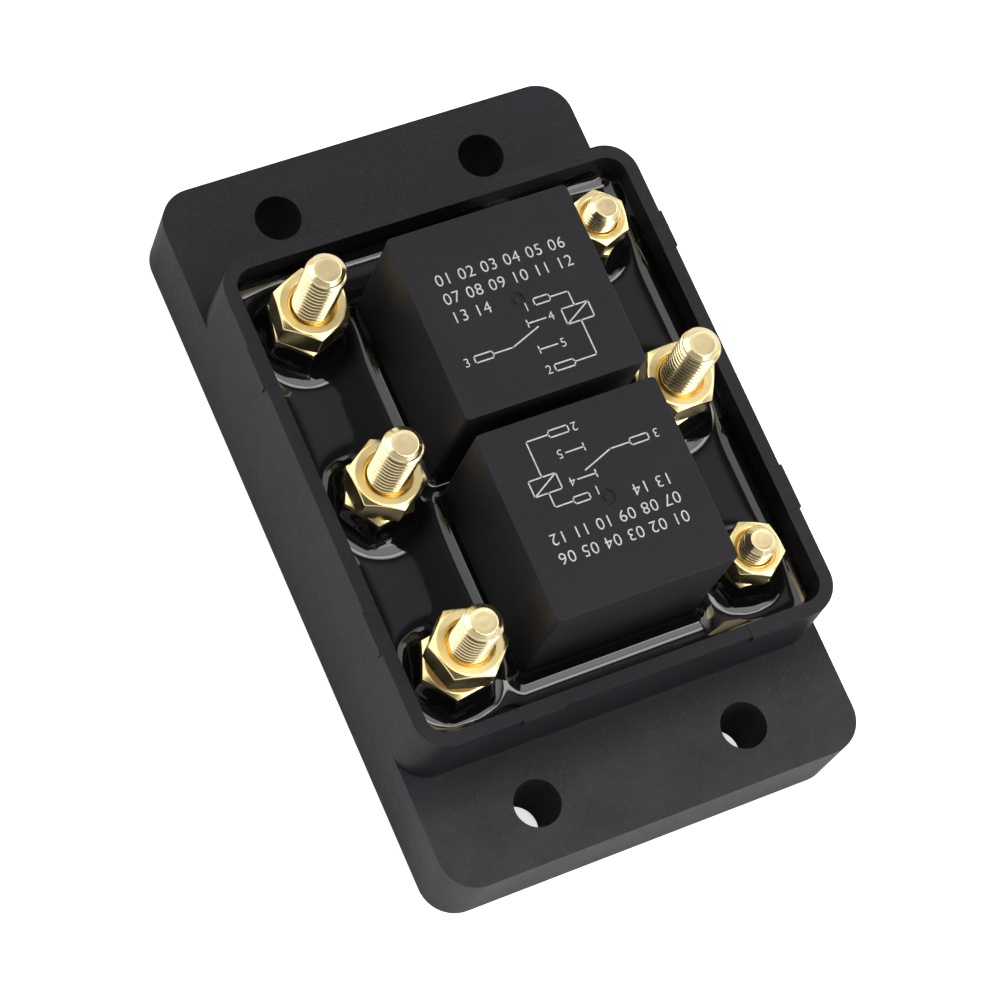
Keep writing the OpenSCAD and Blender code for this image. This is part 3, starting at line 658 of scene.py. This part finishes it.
def relay_boxes():
    """Middle and size of each relay cover in millimetres."""
    rows = []
    for name in RELAYS:
        low, high = (Vector(c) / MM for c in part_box(name))
        rows.append((((low.x + high.x) / 2, (low.y + high.y) / 2), high.x - low.x,
                     high.y - low.y, high.z))
    return rows


def climb(distance, slopes):
    """Rise of the skin beside something, at a distance from it."""
    return sum(rise * np.exp(-np.maximum(distance, 0) / reach) for rise, reach in slopes)


def resin_height(x, y):
    """Height of the resin's skin over points of the plan."""
    wave = np.sin(x / WAVE_X[0] + WAVE_X[1]) * np.sin(y / WAVE_Y[0] + WAVE_Y[1])
    rise = WAVE_H * (wave + SLANT_SHARE * np.sin(x / SLANT_X + y / SLANT_Y))
    rise = rise + climb(CAVITY_W / 2 - np.abs(x), WALL_CLIMB)
    rise = rise + climb(CAVITY_L / 2 - np.abs(y), WALL_CLIMB)
    corner = rect_distance(x, y, (0, 0), CAVITY_W, CAVITY_L, CAVITY_R)
    rise = np.maximum(rise, climb(-corner, WALL_CLIMB))
    for centre, w, l, _ in relay_boxes():
        rise = rise + climb(rect_distance(x, y, centre, w, l, COVER_EDGE_R), RELAY_CLIMB)
        past_end = np.hypot(np.abs(y) - abs(centre[1]) - l / 2, END_ROUND) - END_ROUND
        beside = np.maximum(np.abs(x - centre[0]) - w / 2, 0)
        away = (np.sign(centre[1]) == np.sign(y)) * np.exp(-(beside / END_SIDE) ** 2)
        rise = rise + END_CLIMB * away * np.exp(-past_end / END_REACH)
    for name, centre in stud_places().items():
        _, r, af, _, turn, _, _, _ = STUDS[name]
        near = hex_distance(x, y, centre, af, turn)
        around = np.maximum(np.hypot(x - centre[0], y - centre[1]) - af * ROUNDING, 0)
        blend = np.clip(near / ROUNDING_REACH, 0, 1)
        gap = near * (1 - blend) + around * blend
        rise = rise + climb(gap, POWER_CLIMB if r == POWER_R else COIL_CLIMB)
    height = RESIN_Z + rise
    for centre, w, l, _ in relay_boxes():
        inside = rect_distance(x, y, centre, w, l, COVER_EDGE_R) < -RELAY_OVERLAP
        height = np.where(inside, UNDER_RELAY_Z, height)
    return height


def resin_normals(x, y):
    """Upward normals of the resin's skin, from the slope of its height."""
    step = 0.004
    sx = (resin_height(x + step, y) - resin_height(x - step, y)) / (2 * step)
    sy = (resin_height(x, y + step) - resin_height(x, y - step)) / (2 * step)
    size = np.sqrt(sx * sx + sy * sy + 1)
    return np.stack([-sx / size, -sy / size, 1 / size], axis=1)


def graded(reach, count):
    """Distances that crowd towards 0."""
    return [reach * (k / count) ** 2 for k in range(count + 1)]


def gaps_of(plan):
    """Distance of each point of the plan from the wall, each relay and each nut."""
    x, y = plan[:, 0], plan[:, 1]
    rows = [-rect_distance(x, y, (0, 0), CAVITY_W, CAVITY_L, CAVITY_R)]
    rows += [rect_distance(x, y, centre, w, l, COVER_EDGE_R)
             for centre, w, l, _ in relay_boxes()]
    for name, centre in stud_places().items():
        _, _, af, _, turn, _, _, _ = STUDS[name]
        rows.append(hex_distance(x, y, centre, af, turn))
    return np.array(rows)


def resin_rings():
    """Rows of points that follow each thing the resin climbs, with the owner's place in gaps_of."""
    owner = 0
    for gap in graded(RING_REACH, RING_COUNT):
        ring = round_rect(CAVITY_W - 2 * gap, CAVITY_L - 2 * gap, max(0.2, CAVITY_R - gap),
                          OUTER_CORNER)
        yield owner, gap, resampled(ring, RING_STEP)
    for centre, w, l, _ in relay_boxes():
        owner += 1
        for gap in UNDER_GAPS + graded(RING_REACH, RING_COUNT):
            ring = round_rect(w + 2 * gap, l + 2 * gap, max(0.1, COVER_EDGE_R + gap),
                              COVER_CORNER, centre)
            yield owner, gap, resampled(ring, RING_STEP)
    for name, centre in stud_places().items():
        owner += 1
        _, _, af, _, turn, _, _, _ = STUDS[name]
        for gap in graded(NUT_RING_REACH, NUT_RING_COUNT):
            yield owner, gap, [(centre[0] + px, centre[1] + py)
                               for px, py in hex_offset(af, turn, gap, NUT_RING_POINTS)]


def resin_plan():
    """Points of the resin's plan, dense along every piece that it climbs."""
    kept = []
    for owner, gap, ring in resin_rings():
        ring = np.array(ring)
        gaps = gaps_of(ring)
        gaps[owner] = np.inf
        nearest = gaps.min(axis=0)
        kept.append(ring[(nearest > max(gap, 0) * RING_SHARE) | (nearest > RING_FREE)])
    across, along = np.meshgrid(np.arange(-CAVITY_W / 2, CAVITY_W / 2, GRID_STEP),
                                np.arange(-CAVITY_L / 2, CAVITY_L / 2, GRID_STEP))
    grid = np.stack([across.ravel(), along.ravel()], axis=1)
    kept.append(grid[gaps_of(grid).min(axis=0) > GRID_FREE])
    kept.append(np.array(list(stud_places().values())))
    plan = np.concatenate(kept)
    gaps = gaps_of(plan)
    relays = gaps[1:1 + len(RELAYS)].min(axis=0)
    return plan[(gaps[0] > -WALL_TOLERANCE) & (relays > -RELAY_TOLERANCE)]


def resampled(outline, step):
    """The same closed outline with points about a step apart."""
    points = []
    for a, b in zip(outline, outline[1:] + outline[:1]):
        n = max(1, round(math.dist(a, b) / step))
        points += [(a[0] + (b[0] - a[0]) * k / n, a[1] + (b[1] - a[1]) * k / n)
                   for k in range(n)]
    return points


def resin(material):
    """The resin: its skin as a height field, closed by walls and a floor under it."""
    plan = resin_plan()
    flat, _, faces, _, _, _ = delaunay_2d_cdt([Vector(p) for p in plan], [], [], 0, 1e-4)
    x, y = np.array([p.x for p in flat]), np.array([p.y for p in flat])
    z, normals = resin_height(x, y), resin_normals(x, y)
    mesh = bpy.data.meshes.new("resin_skin")
    skin = bmesh.new()
    corners = [skin.verts.new((px * MM, py * MM, pz * MM)) for px, py, pz in zip(x, y, z)]
    for face in faces:
        skin.faces.new([corners[k] for k in face])
    rim = [e for e in skin.edges if e.is_boundary]
    wall = bmesh.ops.extrude_edge_only(skin, edges=rim)["geom"]
    for v in wall:
        if isinstance(v, bmesh.types.BMVert):
            v.co.z = FLOOR * MM
    bmesh.ops.holes_fill(skin, edges=[e for e in skin.edges if e.is_boundary], sides=0)
    bmesh.ops.recalc_face_normals(skin, faces=skin.faces)
    skin.to_mesh(mesh)
    skin.free()
    piece = make_object("resin_skin", mesh, material, ("resin_fill",), NONE_SHARP)
    full = np.zeros((len(mesh.vertices), 3))
    full[:len(normals)] = normals
    mesh.normals_split_custom_set_from_vertices([Vector(n) for n in full])
    return piece


# Studs and nuts

def lathe_rings(name, rings, closed):
    """Skins rings of equal point counts; closed also joins the last to the first."""
    n = len(rings[0])
    points = [p for ring in rings for p in ring]
    faces = []
    pairs = len(rings) if closed else len(rings) - 1
    for i in range(pairs):
        a, b = i * n, (i + 1) % len(rings) * n
        faces += [(a + k, a + (k + 1) % n, b + (k + 1) % n, b + k) for k in range(n)]
    if not closed:
        faces.append(tuple(reversed(range(n))))
        faces.append(tuple(range((len(rings) - 1) * n, len(rings) * n)))
    return mesh_from(name, points, faces)


def nut_mesh(name, centre, z, r, af, h, turn):
    """A hex nut: chamfered corners at both ends, countersunk mouths and a bore."""
    angles = [2 * math.pi * k / NUT_STEPS for k in range(NUT_STEPS)]
    face_r = NUT_FACE_SHARE * af / 2
    mouth_r = r + NUT_MOUTH
    bore_r = r - NUT_BORE_IN

    def flat_r(a):
        local = (a + math.pi / 6) % (math.pi / 3) - math.pi / 6
        return af / 2 / math.cos(math.pi / 6 - abs(local))

    def ring(radius_of, height_of):
        points = []
        for a in angles:
            out = radius_of(a)
            spin = a + math.radians(turn)
            points.append((centre[0] + out * math.cos(spin), centre[1] + out * math.sin(spin),
                           z + height_of(a)))
        return points

    def drop(a):
        return (flat_r(a) - face_r) * NUT_BEVEL

    rings = [
        ring(lambda a: bore_r, lambda a: NUT_MOUTH),
        ring(lambda a: mouth_r, lambda a: 0),
        ring(lambda a: face_r, lambda a: 0),
        ring(flat_r, drop),
        ring(flat_r, lambda a: h - drop(a)),
        ring(lambda a: face_r, lambda a: h),
        ring(lambda a: mouth_r, lambda a: h),
        ring(lambda a: bore_r, lambda a: h - NUT_MOUTH),
    ]
    return lathe_rings(name, rings, True)


def rounded(piece):
    """Rounds a fastener's sharp edges a little."""
    width, segments, angle_deg = FASTENER_EDGE
    modifier = piece.modifiers.new("round", "BEVEL")
    modifier.width = width * MM
    modifier.segments = segments
    modifier.limit_method = "ANGLE"
    modifier.angle_limit = math.radians(angle_deg)
    return even_shading(piece)


def thread_radius(r, pitch, z, a):
    """Radius of a rolled right-hand thread, round at crest and root, at height z and angle a."""
    phase = 2 * math.pi * (z / pitch - a / (2 * math.pi))
    return r - THREAD_DEPTH * pitch * (1 - math.cos(phase)) / 2


def stud_mesh(name, centre, r, pitch, low, top):
    """A stud: plain shank below, then a thread up to a chamfered, faintly dished tip."""
    rows = int((top - low) / (pitch / RINGS_PER_PITCH))
    tip_r = r - TIP_CHAMFER[r]

    def ring(radius_of, z):
        angles = [2 * math.pi * k / STUD_STEPS for k in range(STUD_STEPS)]
        return [(centre[0] + radius_of(a) * math.cos(a), centre[1] + radius_of(a) * math.sin(a), z)
                for a in angles]

    rings = [ring(lambda a: r - THREAD_RELIEF, SEAT_Z)]
    for i in range(rows + 1):
        z = low + (top - low) * i / rows
        rings.append(ring(lambda a: min(thread_radius(r, pitch, z, a),
                                        tip_r + (top - z) * TIP_SLOPE), z))
    rings += [ring(lambda a: tip_r * share, top - dip) for share, dip in TIP_DISH]
    return lathe_rings(name, rings, False)


def head_mesh(name, centre, r, af):
    """The hexagonal head under the board, chamfered below."""
    steps, h = NUT_STEPS, HEAD_H[r]
    face_r = NUT_FACE_SHARE * af / 2
    angles = [2 * math.pi * k / steps for k in range(steps)]
    flat = [af / 2 / math.cos(math.pi / 6 - abs((a + math.pi / 6) % (math.pi / 3) - math.pi / 6))
            for a in angles]
    levels = [([face_r] * steps, [0] * steps),
              (flat, [(f - face_r) * NUT_BEVEL for f in flat]), (flat, [h] * steps)]
    rings = [[(centre[0] + f * math.cos(a), centre[1] + f * math.sin(a), SEAT_Z - h + z)
              for a, f, z in zip(angles, radii, lifts)] for radii, lifts in levels]
    return lathe_rings(name, rings, False)


def fasteners(nut_material, stud_material):
    """Each stud with its two nuts and its head, as four pieces."""
    sharp_deg = FASTENER_EDGE[2]
    for name, centre in stud_places().items():
        _, r, af, nut_h, low_turn, top_turn, rise, pitch = STUDS[name]
        group = "power" if r == POWER_R else "coil"
        nuts = [("base", NUT_Z, low_turn), ("terminal", NUT_Z + nut_h + rise, top_turn)]
        for kind, z, turn in nuts:
            full_name = f"{name}_{kind}_nut"
            mesh = nut_mesh(full_name, centre, z, r, af, nut_h, turn)
            rounded(make_object(full_name, mesh, nut_material,
                                (f"{group}_{kind}_nuts",), sharp_deg))
        thread = stud_mesh(name + "_thread", centre, r, pitch, THREAD_LOW, STUD_TOP[r])
        make_object(name + "_thread", thread, stud_material, (group + "_studs",),
                    NONE_SHARP)
        head = head_mesh(name + "_head", centre, r, af)
        rounded(make_object(name + "_head", head, stud_material,
                            (group + "_studs",), sharp_deg))


# Relays

def relay_cover(name, row, material):
    """A relay's case, with a round moulding dimple and its nub in the middle of the top."""
    centre, w, l, top = row
    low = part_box(name)[0][2] / MM
    shell = prism(round_rect(w, l, COVER_EDGE_R, COVER_CORNER, centre), low, top)
    outer = prism(circle(DIMPLE_R, DIMPLE_STEPS, centre), top - DIMPLE_DEPTH, top + 1)
    nub = prism(circle(DIMPLE_NUB_R, NUB_STEPS, centre), top - 2 * DIMPLE_DEPTH, top + 2)
    combine(outer, [nub], "DIFFERENCE")
    combine(shell, [outer], "DIFFERENCE")
    mesh = soften(shell, COVER_TOP_R, 3, 40)
    return even_shading(make_object(name.replace("_cover", "_case"), mesh, material,
                                    (name,), MOULDED_SHARP))


# Print on the relays: a plain contact diagram and rows of plain numbers

def ribbon(points, width):
    """Corner points and faces of a flat line of that width with square joints."""
    corners, faces = [], []
    for a, b in zip(points, points[1:]):
        along = (Vector(b) - Vector(a)).normalized() * width / 2
        side = Vector((-along.y, along.x))
        first = len(corners)
        for end, reach in ((Vector(a), -along), (Vector(b), along)):
            corners += [end + reach - side, end + reach + side]
        faces.append((first, first + 2, first + 3, first + 1))
    return corners, faces


def digits(text, size, place):
    """Plain numerals as points and faces in the plan, from Blender's own font."""
    curve = bpy.data.curves.new("digits", "FONT")
    curve.body = text
    curve.size = size
    curve.space_character = DIGIT_SPACING
    curve.offset = -DIGIT_THIN * size
    holder = bpy.data.objects.new("digits", curve)
    bpy.context.collection.objects.link(holder)
    mesh = applied(holder)
    bpy.data.objects.remove(holder)
    points = [v.co.xy + Vector(place) for v in mesh.vertices]
    return points, [tuple(f.vertices) for f in mesh.polygons]


def relay_print(name, row, spin, material):
    """The print of one relay, turned by spin about the relay's middle."""
    centre, _, _, top = row
    parts = [ribbon(line, PRINT_W) for line in DIAGRAM]
    parts += [digits(*row) for row in NUMBERS]
    turn = Matrix.Rotation(spin, 2)
    points, faces = [], []
    for corners, sides in parts:
        first = len(points)
        for corner in corners:
            at = turn @ Vector(corner)
            points.append((centre[0] + at.x, centre[1] + at.y, top + PRINT_T))
        faces += [tuple(first + k for k in side) for side in sides]
    mesh = mesh_from(name, points, faces)
    solid = bmesh.new()
    solid.from_mesh(mesh)
    for face in solid.faces:
        if face.normal.z < 0:
            face.normal_flip()
    shell = bmesh.ops.extrude_face_region(solid, geom=list(solid.faces))["geom"]
    for part in shell:
        if isinstance(part, bmesh.types.BMVert):
            part.co.z -= 2 * PRINT_T * MM
    bmesh.ops.recalc_face_normals(solid, faces=solid.faces)
    solid.to_mesh(mesh)
    solid.free()
    return make_object(name, mesh, material, ())


# Studio

def front_lamp():
    """The one lamp, near the front flange; the rest of the light comes from the sky."""
    data = bpy.data.lights.new("front", "AREA")
    data.shape = "RECTANGLE"
    data.size, data.size_y = LAMP_SIZE
    data.energy = LAMP_LEVEL * math.pi * LAMP_SIZE[0] * LAMP_SIZE[1]
    piece = bpy.data.objects.new("front", data)
    piece.location = Vector(LAMP_WAY).normalized() * LAMP_DISTANCE
    bpy.context.collection.objects.link(piece)
    facing = Vector(LAMP_TARGET) - piece.location
    piece.rotation_euler = facing.to_track_quat("-Z", "Y").to_euler()


def softbox(tree, sky, way, size, soft, level):
    """Brightness of a soft-edged rectangle of light in the sky, seen along a direction."""
    normal = Vector(way).normalized()
    side = Vector((0, 1, 0)).cross(normal).normalized()
    up = normal.cross(side)

    def dot(axis):
        node = add(tree, "ShaderNodeVectorMath", operation="DOT_PRODUCT")
        tree.links.new(sky, node.inputs[0])
        node.inputs[1].default_value = axis
        return node.outputs["Value"]

    front = dot(normal)
    behind = 0.01
    ahead = math_node(tree, "MAXIMUM", front, behind)
    mask = math_node(tree, "GREATER_THAN", front, behind)
    for axis, half in ((side, size[0]), (up, size[1])):
        off = math_node(tree, "ABSOLUTE", math_node(tree, "DIVIDE", dot(axis), ahead))
        edge = tree.nodes.new("ShaderNodeMapRange")
        edge.interpolation_type = "SMOOTHSTEP"
        tree.links.new(off, edge.inputs["Value"])
        edge.inputs["From Min"].default_value = half + soft
        edge.inputs["From Max"].default_value = max(0.0, half - soft)
        mask = math_node(tree, "MULTIPLY", mask, edge.outputs["Result"])
    return math_node(tree, "MULTIPLY", mask, level)


def studio_world():
    """Pale near the horizon, dark overhead, with softboxes; the camera sees plain white."""
    world = bpy.data.worlds.new("studio")
    bpy.context.scene.world = world
    world.use_nodes = True
    tree = world.node_tree
    background = tree.nodes["Background"]
    seen = add(tree, "ShaderNodeLightPath")
    sky = add(tree, "ShaderNodeTexCoord").outputs["Generated"]
    height = add(tree, "ShaderNodeSeparateXYZ", Vector=sky).outputs["Z"]
    total = ramp(tree, height, [(0.0, SKY_EDGE), (SKY_LOW, SKY_EDGE), (SKY_HIGH, SKY_TOP)])
    for row in SOFTBOXES:
        total = math_node(tree, "ADD", total, softbox(tree, sky, *row))
    colour = add(tree, "ShaderNodeMix", data_type="RGBA")
    tree.links.new(seen.outputs["Is Camera Ray"], colour.inputs["Factor"])
    tree.links.new(total, colour.inputs["A"])
    colour.inputs["B"].default_value = (1, 1, 1, 1)
    tree.links.new(colour.outputs["Result"], background.inputs["Color"])
    background.inputs["Strength"].default_value = 1.0


def white_floor():
    """A pale table that keeps the object's shadow, and that the camera sees brighter."""
    corners = [(x * FLOOR_HALF, y * FLOOR_HALF, 0) for x, y in ((-1, -1), (1, -1), (1, 1), (-1, 1))]
    mesh = mesh_from("floor", corners, [(0, 1, 2, 3)])
    floor = bpy.data.objects.new("floor", mesh)
    floor.location.z = -FLOOR_DROP
    bpy.context.collection.objects.link(floor)
    material, tree, shader = tree_of("floor_white")
    shader.inputs["Base Color"].default_value = (FLOOR_COLOUR, FLOOR_COLOUR, FLOOR_COLOUR, 1)
    shader.inputs["Roughness"].default_value = 0.9
    shader.inputs["Specular IOR Level"].default_value = 0.0
    seen = add(tree, "ShaderNodeLightPath")
    glow = math_node(tree, "MULTIPLY", seen.outputs["Is Camera Ray"], FLOOR_GLOW)
    shader.inputs["Emission Color"].default_value = (1, 1, 1, 1)
    tree.links.new(glow, shader.inputs["Emission Strength"])
    mesh.materials.append(material)


def studio():
    """View settings, sky, floor and lamp."""
    bpy.context.scene.view_settings.view_transform = "Standard"
    studio_world()
    white_floor()
    front_lamp()


def camera():
    """The camera that took the photograph, as far as it could be worked out."""
    data = bpy.data.cameras.new("camera")
    data.lens, data.sensor_width = LENS, SENSOR
    data.clip_start, data.clip_end = NEAREST, FARTHEST
    piece = bpy.data.objects.new("camera", data)
    bpy.context.collection.objects.link(piece)
    axes = Matrix((CAMERA_RIGHT, -CAMERA_DOWN, -CAMERA_FORWARD)).transposed()
    piece.matrix_world = Matrix.Translation(CAMERA_PLACE) @ axes.to_4x4()
    bpy.context.scene.camera = piece


def main():
    """Camera, studio and finishes first, then the pieces, then the carried-over CAD nodes."""
    camera()
    studio()
    case, cover, potting = housing_plastic(), relay_plastic(), poured_resin()
    nut, stud, ink = nut_brass(), stud_brass(), printed_ink()
    housing(case)
    resin(potting)
    for name, row in zip(RELAYS, relay_boxes()):
        relay_cover(name, row, cover)
    for name, row, spin in zip(RELAYS, relay_boxes(), (0, math.pi)):
        relay_print(name.replace("_cover", "_print"), row, spin, ink)
    fasteners(nut, stud)
    dress_nodes({"housing_plastic": case, "potting_resin": potting, "relay_plastic": cover,
                 "nut_brass": nut, "stud_brass": stud})


main()
